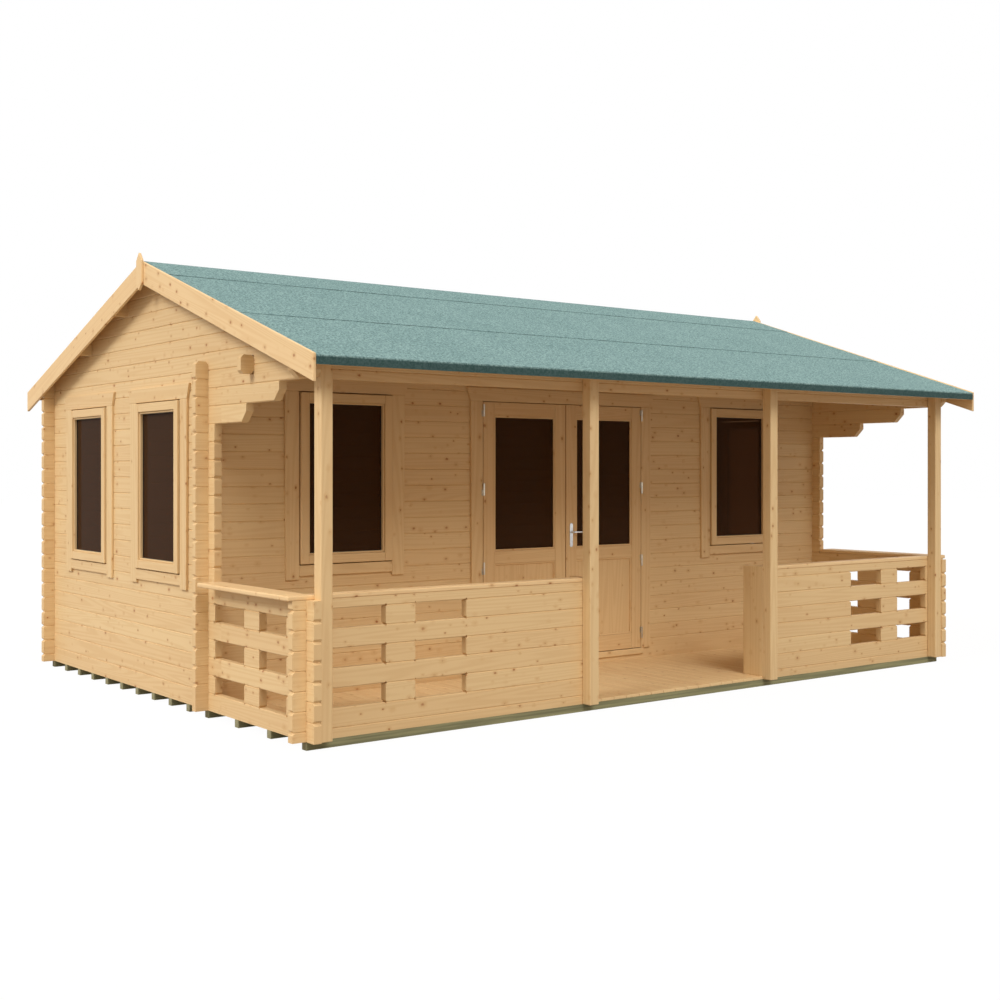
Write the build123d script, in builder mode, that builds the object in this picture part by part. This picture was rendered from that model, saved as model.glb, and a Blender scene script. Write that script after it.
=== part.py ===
from build123d import *
from math import cos, radians, tan
import os

# Log cabin with a front veranda, in millimetres.
# +X to the right along the front, +Y to the back, +Z up.
# Origin on the ground, under the middle of the ridge.

# Logs
log_pitch = 114.0           # height of one course
log_thickness = 50.0
log_groove = 5.0            # V groove along each joint, on both faces
log_notch = 15.0            # V notch across each joint, at the log ends
log_clip = 28.0             # free corners of the log ends, measured along the cut
log_end = 88.0              # how far a log runs past the wall that it crosses

# Plan, over the outer faces of the walls
wall_width = 5920.0
cabin_depth = 2890.0
veranda_depth = 1265.0

# Ground frame and floors
bearer_height = 50.0
bearer_width = 50.0
cabin_bearer_count = 11
veranda_bearer_count = 3
floor_thickness = 20.0

# Roof
roof_pitch = 18.5           # degrees
eaves_closer = 7.0          # from the long front logs up to the roof boards, at the wall faces
eaves_overhang = 272.0
gable_overhang = 92.0
roof_board = 19.0
felt_thickness = 3.0
felt_drop = 54.0            # felt turned down over the eaves
felt_first_lap = 405.0      # level distance from the ridge to the edge of the ridge strip
felt_second_lap = 1417.0    # level distance from the ridge to the edge of the middle strip
batten_depth = 24.0
batten_height = 32.0
purlin_depth = 114.0
inner_purlin = 541.0        # level distances from the ridge to the purlins
outer_purlin = 1236.0
board_upstand = 4.0         # bargeboard top above the felt
bargeboard_height = 156.0   # measured upright
bargeboard_thickness = 20.0
finial_width = 90.0
finial_rise = 54.0
finial_drop = 203.0
finial_thickness = 18.0

# Walls
front_courses = 19.5        # the front wall's logs that run past the gables
lower_corbel = 526.0        # reach of the corbels past the front wall
upper_corbel = 945.0
corbel_clip = 66.0
beam_clip = 42.0            # lower corners of the beam and of the gable logs under it
tie_offset = 630.0          # tie beam in front of the front wall

# Veranda rails
rail_courses = 7
cap_thickness = 28.0
side_cap_overhang = 120.0
front_cap_width = 95.0
post_size = 78.0
entry_half_width = 832.0
end_board_thickness = 28.0
end_board_depth = 190.0
gap_start = 155.0           # from the outer face of the side rail to the first gap of the front rail
gap_width = 375.0
gap_block = 208.0
side_gap_front = 232.0      # from the face of the front rail to the first gap of the side rail
side_gap_width = 336.0
side_gap_block = 196.0
side_gap_rear = 402.0

# Windows
window_width = 732.0        # over the sash
window_height = 1161.0
window_bar = 66.0           # sash face round the glass
window_proud = 33.0         # sash face in front of the wall
window_bevel = 9.0
pane_thickness = 8.0
front_window_corner = 1012.0    # gable face to window centre
front_window_sill = 897.0       # above the lowest log
gable_window_sill = 840.0
gable_window_front = 765.0      # front wall face to window centre
gable_window_rear = 836.0       # rear wall face to window centre

# Casings round windows and doors
casing_thickness = 18.0
casing_width = 98.0
casing_foot = 72.0          # board under a window
casing_tail = 24.0          # how far the side boards run below it
casing_head = 100.0
casing_flare = 44.0
casing_flare_start = 27.0

# Double door
leaf_width = 784.0
leaf_height = 1924.0
leaf_thickness = 44.0
leaf_gap = 5.0
meeting_gap = 8.0
leaf_stile = 101.0
leaf_top_rail = 99.0
leaf_middle_rail = 91.0
leaf_bottom_rail = 120.0
leaf_pane_height = 1003.0
leaf_panel_recess = 14.0
jamb_thickness = 30.0
sill_height = 48.0
stop_projection = 15.0
stop_depth = 19.0

# Door furniture
hinge_radius = 8.0
hinge_pin_radius = 4.0
hinge_pin_clearance = 0.1
hinge_knuckle = 44.0
hinge_knuckle_gap = 0.5
hinge_flange_width = 15.0
hinge_flange = 3.0
hinge_first = 230.0         # lowest hinge above the lowest log
hinge_spacing = 580.0
hinge_count = 4
plate_width = 30.0
plate_height = 185.0
plate_thickness = 4.0
plate_middle = 1032.0       # above the lowest log
lever_height = 1055.0       # above the lowest log
lever_length = 112.0
lever_width = 18.0
lever_depth = 11.0
lever_neck_radius = 8.0
lever_standoff = 38.0
lever_clearance = 0.1

# Places that follow from the sizes above
half_width = wall_width / 2
inner_half_width = half_width - log_thickness
total_depth = cabin_depth + veranda_depth
veranda_face = -total_depth / 2
front_face = veranda_face + veranda_depth
rear_face = total_depth / 2
half_log = log_pitch / 2
log_base = bearer_height
beam_course = int(front_courses) - 1        # gable log on which the veranda beam sits
corbel_course = beam_course - 2             # first gable log that reaches out over the veranda
front_wall_top = log_base + front_courses * log_pitch
eaves_height = front_wall_top + eaves_closer
slope = tan(radians(roof_pitch))
upright = 1 / cos(radians(roof_pitch))      # upright size of one unit square to the slope
ridge_height = eaves_height + rear_face * slope
eaves_edge = rear_face + eaves_overhang
gable_edge = half_width + gable_overhang
felt_top = (roof_board + 2 * felt_thickness) * upright
barge_top = felt_top + board_upstand
rail_top = log_base + rail_courses * log_pitch
cap_top = rail_top + cap_thickness
deck_top = bearer_height + floor_thickness
log_tip = half_width + log_end
corner_post_inner = inner_half_width - post_size

side_joints = [log_base + log_pitch * k for k in range(1, 40)]
front_joints = [log_base + log_pitch * (k - 0.5) for k in range(1, 40)]


def roof_under(y):
    """Height of the underside of the roof boards at a distance from the ridge."""
    return ridge_height - abs(y) * slope


def save(part, label):
    """Label a finished piece and write it."""
    part.label = label
    export_step(part, "parts/" + label + ".step")


def stack_section(near, far, low, near_top, far_top, joints):
    """Section through a stack of logs, with a V groove at each joint on both faces."""
    points = [(near, low)]
    for joint in joints:
        if low + log_groove < joint < near_top - log_groove:
            points += [(near, joint - log_groove), (near + log_groove, joint), (near, joint + log_groove)]
    points += [(near, near_top), (far, far_top)]
    for joint in reversed(joints):
        if low + log_groove < joint < far_top - log_groove:
            points += [(far, joint + log_groove), (far - log_groove, joint), (far, joint - log_groove)]
    points.append((far, low))
    return points


def notched_end(position, inward, low, high, joints):
    """Points up the end of a wall, with a V notch at each joint."""
    points = [(position, low)]
    for joint in joints:
        if low + log_notch < joint < high - log_notch:
            points.append((position, joint - log_notch))
            points.append((position + inward * log_notch, joint))
            points.append((position, joint + log_notch))
    points.append((position, high))
    return points


def cut_box(low_corner, high_corner):
    """Rectangle taken out of the sketch that is open."""
    centre = ((low_corner[0] + high_corner[0]) / 2, (low_corner[1] + high_corner[1]) / 2)
    with Locations(centre):
        Rectangle(high_corner[0] - low_corner[0], high_corner[1] - low_corner[1], mode=Mode.SUBTRACT)


def cut_laps(position, count, shift):
    """Pockets for the half-height laps of a crossing wall, one in each course."""
    for course in range(count):
        low = log_base + (course + shift) * log_pitch
        cut_box((position, low), (position + log_thickness, low + half_log))


def cut_gaps(starts, widths, courses, shift):
    """Gaps between short log blocks, with the blocks' corners clipped."""
    for start, width in zip(starts, widths):
        for course in courses:
            low = log_base + (course + shift) * log_pitch
            cut_box((start, low), (start + width, low + log_pitch))
            with Locations(*[(x, z) for x in (start, start + width) for z in (low, low + log_pitch)]):
                Rectangle(log_notch, log_notch, rotation=45, mode=Mode.SUBTRACT)


os.makedirs("parts", exist_ok=True)

# Bearers under the walls, the floor and the deck
cabin_bearer_pitch = (cabin_depth - bearer_width) / (cabin_bearer_count - 1)
veranda_bearer_pitch = veranda_depth / veranda_bearer_count
bearer_places = [front_face + bearer_width / 2 + cabin_bearer_pitch * k for k in range(cabin_bearer_count)]
bearer_places += [
    veranda_face + bearer_width / 2 + veranda_bearer_pitch * k for k in range(veranda_bearer_count)
]
with BuildPart() as floor_bearers:
    with BuildSketch(Plane.XY):
        with Locations(*[(0, y) for y in bearer_places]):
            Rectangle(wall_width, bearer_width)
    extrude(amount=bearer_height)
save(floor_bearers.part, "floor_bearers")

# Cabin floor and veranda deck
with BuildPart() as cabin_floor:
    with BuildSketch(Plane.XY.offset(bearer_height)):
        with Locations((0, (front_face + rear_face) / 2)):
            Rectangle(2 * inner_half_width, cabin_depth - 2 * log_thickness)
    extrude(amount=floor_thickness)
save(cabin_floor.part, "cabin_floor")

entry_edge = entry_half_width + end_board_thickness
with BuildPart() as veranda_deck:
    with BuildSketch(Plane.XY.offset(bearer_height)):
        Polygon([
            (-inner_half_width, front_face), (-inner_half_width, veranda_face + log_thickness),
            (-entry_edge, veranda_face + log_thickness), (-entry_edge, veranda_face),
            (entry_edge, veranda_face), (entry_edge, veranda_face + log_thickness),
            (inner_half_width, veranda_face + log_thickness), (inner_half_width, front_face),
        ])
    extrude(amount=floor_thickness)
save(veranda_deck.part, "veranda_deck")

# Openings in the front wall
leaf_bottom = log_base + half_log + sill_height + leaf_gap
leaf_top = leaf_bottom + leaf_height
sill_top = log_base + half_log + sill_height
jamb_inner = leaf_width + meeting_gap / 2 + leaf_gap
doorway_half = jamb_inner + jamb_thickness
head_under = leaf_top + leaf_gap
doorway_top = head_under + jamb_thickness
front_window_x = half_width - front_window_corner
front_sill_z = log_base + front_window_sill
front_window_z = front_sill_z + window_height / 2

# Front wall: a half log along the bottom, a length each side of the doorway, and the head
front_wall_back = front_face + log_thickness
lap_count = int(front_courses) + 1

with BuildPart() as front_bottom_log:
    with BuildSketch(Plane.XZ.offset(-front_wall_back)):
        Polygon([(-log_tip, log_base), (log_tip, log_base),
                 (log_tip, log_base + half_log), (-log_tip, log_base + half_log)])
        for side in (-half_width, inner_half_width):
            cut_box((side, log_base + half_log / 2), (side + log_thickness, log_base + half_log))
    extrude(amount=log_thickness)
save(front_bottom_log.part, "front_bottom_log")


def front_wall_side(side):
    """Front wall from the doorway to one corner; side is -1 for the left and 1 for the right."""
    low = log_base + half_log
    with BuildPart() as wall:
        with BuildSketch(Plane.YZ.offset(-log_tip)):
            Polygon(stack_section(front_face, front_wall_back, low, front_wall_top, front_wall_top, front_joints))
        extrude(amount=2 * log_tip)
        with BuildSketch(Plane.XZ.offset(-front_wall_back)):
            ends = notched_end(side * log_tip, -side, low, front_wall_top, front_joints)
            Polygon(ends + [(side * doorway_half, front_wall_top), (side * doorway_half, low)])
            cut_box((side * front_window_x - window_width / 2, front_sill_z),
                    (side * front_window_x + window_width / 2, front_sill_z + window_height))
            cut_laps(-half_width if side < 0 else inner_half_width, lap_count, 0.25)
            with Locations(*[(side * x, front_wall_top) for x in (half_width, log_tip)]):
                Rectangle(log_clip, log_clip, rotation=45, mode=Mode.SUBTRACT)
        extrude(amount=log_thickness, mode=Mode.INTERSECT)
    return wall.part


save(front_wall_side(-1), "front_wall_left")
save(front_wall_side(1), "front_wall_right")

with BuildPart() as front_wall_head:
    with BuildSketch(Plane.YZ.offset(-doorway_half)):
        Polygon(stack_section(front_face, front_wall_back, doorway_top, front_wall_top, front_wall_top,
                              front_joints))
    extrude(amount=2 * doorway_half)
save(front_wall_head.part, "front_wall_head")

with BuildPart() as front_wall_upper:
    with BuildSketch(Plane.YZ.offset(-inner_half_width)):
        Polygon(stack_section(front_face, front_wall_back, front_wall_top, roof_under(front_face),
                              roof_under(front_wall_back), front_joints))
    extrude(amount=2 * inner_half_width)
save(front_wall_upper.part, "front_wall_upper")

# Rear wall, one length from corner to corner, its top planed to the slope
with BuildPart() as rear_wall:
    with BuildSketch(Plane.YZ.offset(-log_tip)):
        Polygon(stack_section(rear_face - log_thickness, rear_face, log_base,
                              roof_under(rear_face - log_thickness), roof_under(rear_face), front_joints))
    extrude(amount=2 * log_tip)
    with BuildSketch(Plane.XZ.offset(-rear_face)):
        rear_top = ridge_height
        left_end = notched_end(-log_tip, 1, log_base, rear_top, front_joints)
        right_end = notched_end(log_tip, -1, log_base, rear_top, front_joints)
        Polygon(left_end + right_end[::-1])
        cut_laps(-half_width, lap_count, 0.25)
        cut_laps(inner_half_width, lap_count, 0.25)
    extrude(amount=log_thickness, mode=Mode.INTERSECT)
save(rear_wall.part, "rear_wall")

# Gable walls: logs run out over the veranda as two stepped corbels and the log under the beam
beam_low = log_base + beam_course * log_pitch
beam_seat = beam_low + half_log
tie_low = log_base + (beam_course + 0.5) * log_pitch
tie_face = front_face - tie_offset
side_purlin_places = [-outer_purlin, -inner_purlin, inner_purlin, outer_purlin]
gable_window_low = log_base + gable_window_sill
gable_window_places = [front_face + gable_window_front, rear_face - gable_window_rear]


def corbel(reach, low):
    """The end of one corbel log, from its top to its clipped lower corner."""
    tip = front_face - reach
    return [(tip, low + log_pitch), (tip, low + corbel_clip), (tip + corbel_clip, low)]


def gable_wall(side):
    """Gable wall; side is -1 for the left and 1 for the right."""
    near = -half_width if side < 0 else inner_half_width
    corbel_low = log_base + corbel_course * log_pitch
    beam_end = veranda_face - log_end
    rear_tip = rear_face + log_end
    front_tip = front_face - log_end
    with BuildPart() as wall:
        with BuildSketch(Plane.XZ.offset(-rear_tip)):
            Polygon(stack_section(near, near + log_thickness, log_base, ridge_height, ridge_height,
                                  side_joints))
        extrude(amount=rear_tip - beam_end)
        with BuildSketch(Plane.YZ.offset(near)):
            points = notched_end(front_tip, 1, log_base, corbel_low, side_joints)[:-1]
            points.append((front_tip, corbel_low))
            points += corbel(lower_corbel, corbel_low)[::-1]
            points += corbel(upper_corbel, corbel_low + log_pitch)[::-1]
            points += [(beam_end + beam_clip, beam_low), (beam_end, beam_low + beam_clip)]
            points += notched_end(beam_end, 1, beam_low, roof_under(beam_end), side_joints)[1:]
            points.append((0, ridge_height))
            points += notched_end(rear_tip, -1, log_base, roof_under(rear_tip), side_joints)[::-1]
            Polygon(*points)
            for y in gable_window_places:
                cut_box((y - window_width / 2, gable_window_low),
                        (y + window_width / 2, gable_window_low + window_height))
            cut_laps(front_face, lap_count, -0.25)
            cut_laps(rear_face - log_thickness, lap_count, -0.25)
            cut_box((veranda_face, beam_seat), (veranda_face + log_thickness, ridge_height))
            cut_box((tie_face, tie_low), (tie_face + log_thickness, tie_low + log_pitch))
            for y in [0] + side_purlin_places:
                cut_box((y - log_thickness / 2, roof_under(y) - purlin_depth),
                        (y + log_thickness / 2, ridge_height))
        extrude(amount=log_thickness, mode=Mode.INTERSECT)
    return wall.part


save(gable_wall(-1), "left_gable_wall")
save(gable_wall(1), "right_gable_wall")

# Purlins, with their ends through the gables
with BuildPart() as ridge_purlin:
    with BuildSketch(Plane.YZ.offset(-log_tip)):
        edge = log_thickness / 2
        Polygon([(-edge, ridge_height - purlin_depth), (edge, ridge_height - purlin_depth),
                 (edge, roof_under(edge)), (0, ridge_height), (-edge, roof_under(edge))])
    extrude(amount=2 * log_tip)
save(ridge_purlin.part, "ridge_purlin")

with BuildPart() as side_purlins:
    with BuildSketch(Plane.YZ.offset(-log_tip)):
        for y in side_purlin_places:
            low = roof_under(y) - purlin_depth
            Polygon([(y - edge, low), (y + edge, low),
                     (y + edge, roof_under(y + edge)), (y - edge, roof_under(y - edge))])
    extrude(amount=2 * log_tip)
save(side_purlins.part, "side_purlins")

# Tie beam across the middle of the veranda
with BuildPart() as veranda_tie_beam:
    with BuildSketch(Plane.XZ.offset(-tie_face - log_thickness)):
        with Locations((0, tie_low + half_log)):
            Rectangle(2 * log_tip, log_pitch)
        for x in (-log_tip, -half_width, half_width, log_tip):
            with Locations((x, tie_low), (x, tie_low + log_pitch)):
                Rectangle(log_clip, log_clip, rotation=45, mode=Mode.SUBTRACT)
    extrude(amount=log_thickness)
save(veranda_tie_beam.part, "veranda_tie_beam")

# Veranda beam on the posts, halved into the gable logs, its lower corners cut back
with BuildPart() as veranda_beam:
    beam_back = veranda_face + log_thickness
    with BuildSketch(Plane.YZ.offset(-log_tip)):
        Polygon(stack_section(veranda_face, beam_back, beam_low, roof_under(veranda_face),
                              roof_under(beam_back), front_joints))
    extrude(amount=2 * log_tip)
    with BuildSketch(Plane.XZ.offset(-beam_back)):
        Polygon([(-log_tip, ridge_height), (-log_tip, beam_low + beam_clip),
                 (-log_tip + beam_clip, beam_low), (log_tip - beam_clip, beam_low),
                 (log_tip, beam_low + beam_clip), (log_tip, ridge_height)])
        for near in (-half_width, inner_half_width):
            cut_box((near, beam_low), (near + log_thickness, beam_seat))
    extrude(amount=log_thickness, mode=Mode.INTERSECT)
save(veranda_beam.part, "veranda_beam")


def slope_band(side, start, end, low, high):
    """Band on one slope: level distances from the ridge, upright heights over the boards' underside."""
    return [(side * start, roof_under(start) + low), (side * end, roof_under(end) + low),
            (side * end, roof_under(end) + high), (side * start, roof_under(start) + high)]


# Roof boards, battens under the eaves, and felt in lapped strips
board_top = roof_board * upright
single_felt = board_top + felt_thickness * upright
double_felt = board_top + 2 * felt_thickness * upright
fold = felt_thickness
for name, side in (("front", -1), ("rear", 1)):
    with BuildPart() as roof_boards:
        with BuildSketch(Plane.YZ.offset(-gable_edge)):
            Polygon(slope_band(side, 0, eaves_edge, 0, board_top))
        extrude(amount=2 * gable_edge)
    save(roof_boards.part, name + "_roof_boards")

    with BuildPart() as roof_felt:
        with BuildSketch(Plane.YZ.offset(-gable_edge)):
            eaves_z = roof_under(eaves_edge)
            Polygon([
                (0, ridge_height + board_top), (side * eaves_edge, eaves_z + board_top),
                (side * eaves_edge, eaves_z + single_felt - felt_drop),
                (side * (eaves_edge + fold), eaves_z + single_felt - felt_drop),
                (side * (eaves_edge + fold), eaves_z + single_felt),
                (side * felt_second_lap, roof_under(felt_second_lap) + single_felt),
                (side * felt_second_lap, roof_under(felt_second_lap) + double_felt),
                (0, ridge_height + double_felt),
            ])
        extrude(amount=2 * gable_edge)
    save(roof_felt.part, name + "_felt")

with BuildPart() as ridge_felt:
    with BuildSketch(Plane.YZ.offset(-gable_edge)):
        top = double_felt + felt_thickness * upright
        lap_z = roof_under(felt_first_lap)
        Polygon([(-felt_first_lap, lap_z + double_felt), (0, ridge_height + double_felt),
                 (felt_first_lap, lap_z + double_felt), (felt_first_lap, lap_z + top),
                 (0, ridge_height + top), (-felt_first_lap, lap_z + top)])
    extrude(amount=2 * gable_edge)
save(ridge_felt.part, "ridge_felt")

with BuildPart() as eaves_battens:
    with BuildSketch(Plane.YZ.offset(-gable_edge)):
        for side in (-1, 1):
            inner = eaves_edge - batten_depth
            Polygon([(side * inner, roof_under(inner)), (side * eaves_edge, roof_under(eaves_edge)),
                     (side * eaves_edge, roof_under(eaves_edge) - batten_height),
                     (side * inner, roof_under(eaves_edge) - batten_height)])
    extrude(amount=2 * gable_edge)
save(eaves_battens.part, "eaves_battens")

# Bargeboards, mitred at the apex, and a pointed finial over each mitre
for side_name, near in (("left", -gable_edge - bargeboard_thickness), ("right", gable_edge)):
    for slope_name, side in (("front", -1), ("rear", 1)):
        with BuildPart() as bargeboard:
            with BuildSketch(Plane.YZ.offset(near)):
                Polygon(slope_band(side, 0, eaves_edge + fold, barge_top - bargeboard_height, barge_top))
            extrude(amount=bargeboard_thickness)
        save(bargeboard.part, side_name + "_" + slope_name + "_bargeboard")

finial_face = gable_edge + bargeboard_thickness
with BuildPart() as finials:
    for near in (-finial_face - finial_thickness, finial_face):
        with BuildSketch(Plane.YZ.offset(near)):
            apex = ridge_height + barge_top
            low = apex - finial_drop
            half = finial_width / 2
            Polygon([(-half, apex), (-half, low + half), (0, low), (half, low + half), (half, apex),
                     (0, apex + finial_rise)])
        extrude(amount=finial_thickness)
save(finials.part, "finials")

# Posts stand against the face of the rails and the beam
with BuildPart() as veranda_posts:
    with BuildSketch(Plane.YZ.offset(corner_post_inner)):
        post_front = veranda_face - post_size
        Polygon([(post_front, log_base), (veranda_face, log_base), (veranda_face, roof_under(veranda_face)),
                 (post_front, roof_under(post_front))])
    extrude(amount=post_size)
    with BuildSketch(Plane.YZ.offset(entry_half_width)):
        Polygon([(post_front, log_base), (veranda_face, log_base), (veranda_face, roof_under(veranda_face)),
                 (post_front, roof_under(post_front))])
    extrude(amount=post_size)
    mirror(about=Plane.YZ)
save(veranda_posts.part, "veranda_posts")

# Rails of crossed logs, with three rows of gaps
gap_courses = (1, 3, 5)


def front_rail(side):
    """Front rail from the corner to the entry; side is -1 for the left and 1 for the right."""
    back = veranda_face + log_thickness
    with BuildPart() as rail:
        with BuildSketch(Plane.YZ.offset(-log_tip)):
            Polygon(stack_section(veranda_face, back, log_base, rail_top, rail_top, front_joints))
        extrude(amount=2 * log_tip)
        with BuildSketch(Plane.XZ.offset(-back)):
            ends = notched_end(side * log_tip, -side, log_base, rail_top, front_joints)
            Polygon(ends + [(side * entry_edge, rail_top), (side * entry_edge, log_base)])
            first = half_width - gap_start
            starts = [first - gap_width, first - 2 * gap_width - gap_block]
            if side < 0:
                starts = [-start - gap_width for start in starts]
            cut_gaps(starts, [gap_width, gap_width], gap_courses, 0.5)
            cut_laps(-half_width if side < 0 else inner_half_width, rail_courses, 0.25)
        extrude(amount=log_thickness, mode=Mode.INTERSECT)
    return rail.part


def side_rail(side):
    """Side rail from the gable wall to the front corner; side is -1 for the left and 1 for the right."""
    near = -half_width if side < 0 else inner_half_width
    tip = veranda_face - log_end
    rear_end = front_face - log_end
    with BuildPart() as rail:
        with BuildSketch(Plane.XZ.offset(-rear_end)):
            Polygon(stack_section(near, near + log_thickness, log_base, rail_top, rail_top, side_joints))
        extrude(amount=rear_end - tip)
        with BuildSketch(Plane.YZ.offset(near)):
            ends = notched_end(tip, 1, log_base, rail_top, side_joints)
            Polygon(ends + [(rear_end, rail_top), (rear_end, log_base)])
            first = veranda_face + side_gap_front
            second = first + side_gap_width + side_gap_block
            cut_gaps([first, second], [side_gap_width, side_gap_rear], gap_courses, 0)
            cut_laps(veranda_face, rail_courses + 1, -0.25)
        extrude(amount=log_thickness, mode=Mode.INTERSECT)
    return rail.part


save(side_rail(-1), "left_side_rail")
save(side_rail(1), "right_side_rail")
save(front_rail(-1), "front_left_rail")
save(front_rail(1), "front_right_rail")

cap_tip = half_width + side_cap_overhang
front_cap_back = veranda_face + front_cap_width
with BuildPart() as side_rail_caps:
    with BuildSketch(Plane.XY.offset(rail_top)):
        for near, far in ((-cap_tip, -inner_half_width), (inner_half_width, cap_tip)):
            Polygon([(near, front_cap_back), (far, front_cap_back), (far, front_face - log_end),
                     (near, front_face - log_end)])
    extrude(amount=cap_thickness)
save(side_rail_caps.part, "side_rail_caps")

with BuildPart() as front_rail_caps:
    with BuildSketch(Plane.XY.offset(rail_top)):
        for near, far in ((-cap_tip, -entry_edge), (entry_edge, cap_tip)):
            Polygon([(near, veranda_face), (far, veranda_face), (far, front_cap_back),
                     (near, front_cap_back)])
    extrude(amount=cap_thickness)
save(front_rail_caps.part, "front_rail_caps")

with BuildPart() as entry_end_boards:
    with BuildSketch(Plane.XY.offset(deck_top)):
        for near in (-entry_edge, entry_half_width):
            with Locations((near + end_board_thickness / 2, veranda_face + end_board_depth / 2)):
                Rectangle(end_board_thickness, end_board_depth)
    extrude(amount=cap_top - deck_top)
save(entry_end_boards.part, "entry_end_boards")


def window_casing(centre, low):
    """Boards round a window: head flared at its ends, sides running below the foot board."""
    inner = window_width / 2
    outer = inner + casing_width
    top = low + window_height
    Polygon([
        (centre - outer, low - casing_foot - casing_tail), (centre - inner, low - casing_foot - casing_tail),
        (centre - inner, low - casing_foot), (centre + inner, low - casing_foot),
        (centre + inner, low - casing_foot - casing_tail), (centre + outer, low - casing_foot - casing_tail),
        (centre + outer, top - casing_flare_start), (centre + outer + casing_flare, top + casing_head),
        (centre - outer - casing_flare, top + casing_head), (centre - outer, top - casing_flare_start),
    ])
    cut_box((centre - inner, low), (centre + inner, top))


def window_ring(centre, low):
    """Sash ring with the glass opening."""
    high = low + window_height
    with Locations((centre, (low + high) / 2)):
        Rectangle(window_width, window_height)
        Rectangle(window_width - 2 * window_bar, window_height - 2 * window_bar, mode=Mode.SUBTRACT)


def bevel_ring(ring, axis, outermost):
    """Bevel round the glass, on the outer face of each sash."""
    face = ring.faces().filter_by(axis).group_by(axis)[outermost]
    edges = [edge for loop in face for wire in loop.inner_wires() for edge in wire.edges()]
    chamfer(edges, window_bevel)


# Front windows
sash_depth = window_proud + log_thickness
with BuildPart() as front_window_casings:
    with BuildSketch(Plane.XZ.offset(-front_face)):
        for side in (-1, 1):
            window_casing(side * front_window_x, front_sill_z)
    extrude(amount=casing_thickness)
save(front_window_casings.part, "front_window_casings")

with BuildPart() as front_window_frames:
    with BuildSketch(Plane.XZ.offset(-front_wall_back)):
        for side in (-1, 1):
            window_ring(side * front_window_x, front_sill_z)
    extrude(amount=sash_depth)
    bevel_ring(front_window_frames, Axis.Y, 0)
save(front_window_frames.part, "front_window_frames")

# Gable windows, two in each gable
with BuildPart() as gable_window_casings:
    for side, near in ((-1, -half_width - casing_thickness), (1, half_width)):
        with BuildSketch(Plane.YZ.offset(near)):
            for y in gable_window_places:
                window_casing(y, gable_window_low)
        extrude(amount=casing_thickness)
save(gable_window_casings.part, "gable_window_casings")

with BuildPart() as gable_window_frames:
    for near in (-half_width - window_proud, inner_half_width):
        with BuildSketch(Plane.YZ.offset(near)):
            for y in gable_window_places:
                window_ring(y, gable_window_low)
        extrude(amount=sash_depth)
    bevel_ring(gable_window_frames, Axis.X, 0)
    bevel_ring(gable_window_frames, Axis.X, -1)
save(gable_window_frames.part, "gable_window_frames")

pane_width = window_width - 2 * window_bar
pane_height = window_height - 2 * window_bar
pane_setback = sash_depth / 2 - window_proud        # pane centre behind the wall face
with BuildPart() as window_panes:
    with BuildSketch(Plane.XZ.offset(-front_face - pane_setback - pane_thickness / 2)):
        with Locations(*[(side * front_window_x, front_window_z) for side in (-1, 1)]):
            Rectangle(pane_width, pane_height)
    extrude(amount=pane_thickness)
    for centre in (-half_width + pane_setback, half_width - pane_setback):
        with BuildSketch(Plane.YZ.offset(centre - pane_thickness / 2)):
            with Locations(*[(y, gable_window_low + window_height / 2) for y in gable_window_places]):
                Rectangle(pane_width, pane_height)
        extrude(amount=pane_thickness)
save(window_panes.part, "window_panes")

# Door frame with its stop, and the casing in front of it
with BuildPart() as door_frame:
    with BuildSketch(Plane.XZ.offset(-front_wall_back)):
        Polygon([(-doorway_half, log_base + half_log), (doorway_half, log_base + half_log),
                 (doorway_half, doorway_top), (-doorway_half, doorway_top)])
        cut_box((-jamb_inner, sill_top), (jamb_inner, head_under))
    extrude(amount=log_thickness)
    with BuildSketch(Plane.XZ.offset(-front_wall_back)):
        Polygon([(-jamb_inner, sill_top), (jamb_inner, sill_top), (jamb_inner, head_under),
                 (-jamb_inner, head_under)])
        cut_box((-jamb_inner + stop_projection, sill_top),
                (jamb_inner - stop_projection, head_under - stop_projection))
    extrude(amount=stop_depth)
    with BuildSketch(Plane.XZ.offset(-front_face)):
        Polygon([(-doorway_half, log_base + half_log), (doorway_half, log_base + half_log),
                 (doorway_half, sill_top), (-doorway_half, sill_top)])
    extrude(amount=casing_thickness)
save(door_frame.part, "door_frame")

with BuildPart() as door_casing:
    with BuildSketch(Plane.XZ.offset(-front_face)):
        outer = jamb_inner + casing_width
        Polygon([
            (-outer, sill_top), (-jamb_inner, sill_top), (-jamb_inner, head_under),
            (jamb_inner, head_under), (jamb_inner, sill_top), (outer, sill_top),
            (outer, head_under - casing_flare_start), (outer + casing_flare, head_under + casing_head),
            (-outer - casing_flare, head_under + casing_head), (-outer, head_under - casing_flare_start),
        ])
    extrude(amount=casing_thickness)
save(door_casing.part, "door_casing")

# Door leaves: stiles and rails, a glass opening above and a panel below
leaf_face = front_face - casing_thickness
leaf_back = leaf_face + leaf_thickness
panel_low = leaf_bottom + leaf_bottom_rail
leaf_pane_top = leaf_top - leaf_top_rail
leaf_pane_low = leaf_pane_top - leaf_pane_height
panel_top = leaf_pane_low - leaf_middle_rail
leaf_inner = meeting_gap / 2
leaf_outer = leaf_inner + leaf_width
lever_x = leaf_inner + leaf_stile / 2
lever_z = log_base + lever_height
plate_z = log_base + plate_middle
plate_bore = lever_neck_radius + lever_clearance
leaf_bore = lever_neck_radius + 2


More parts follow.
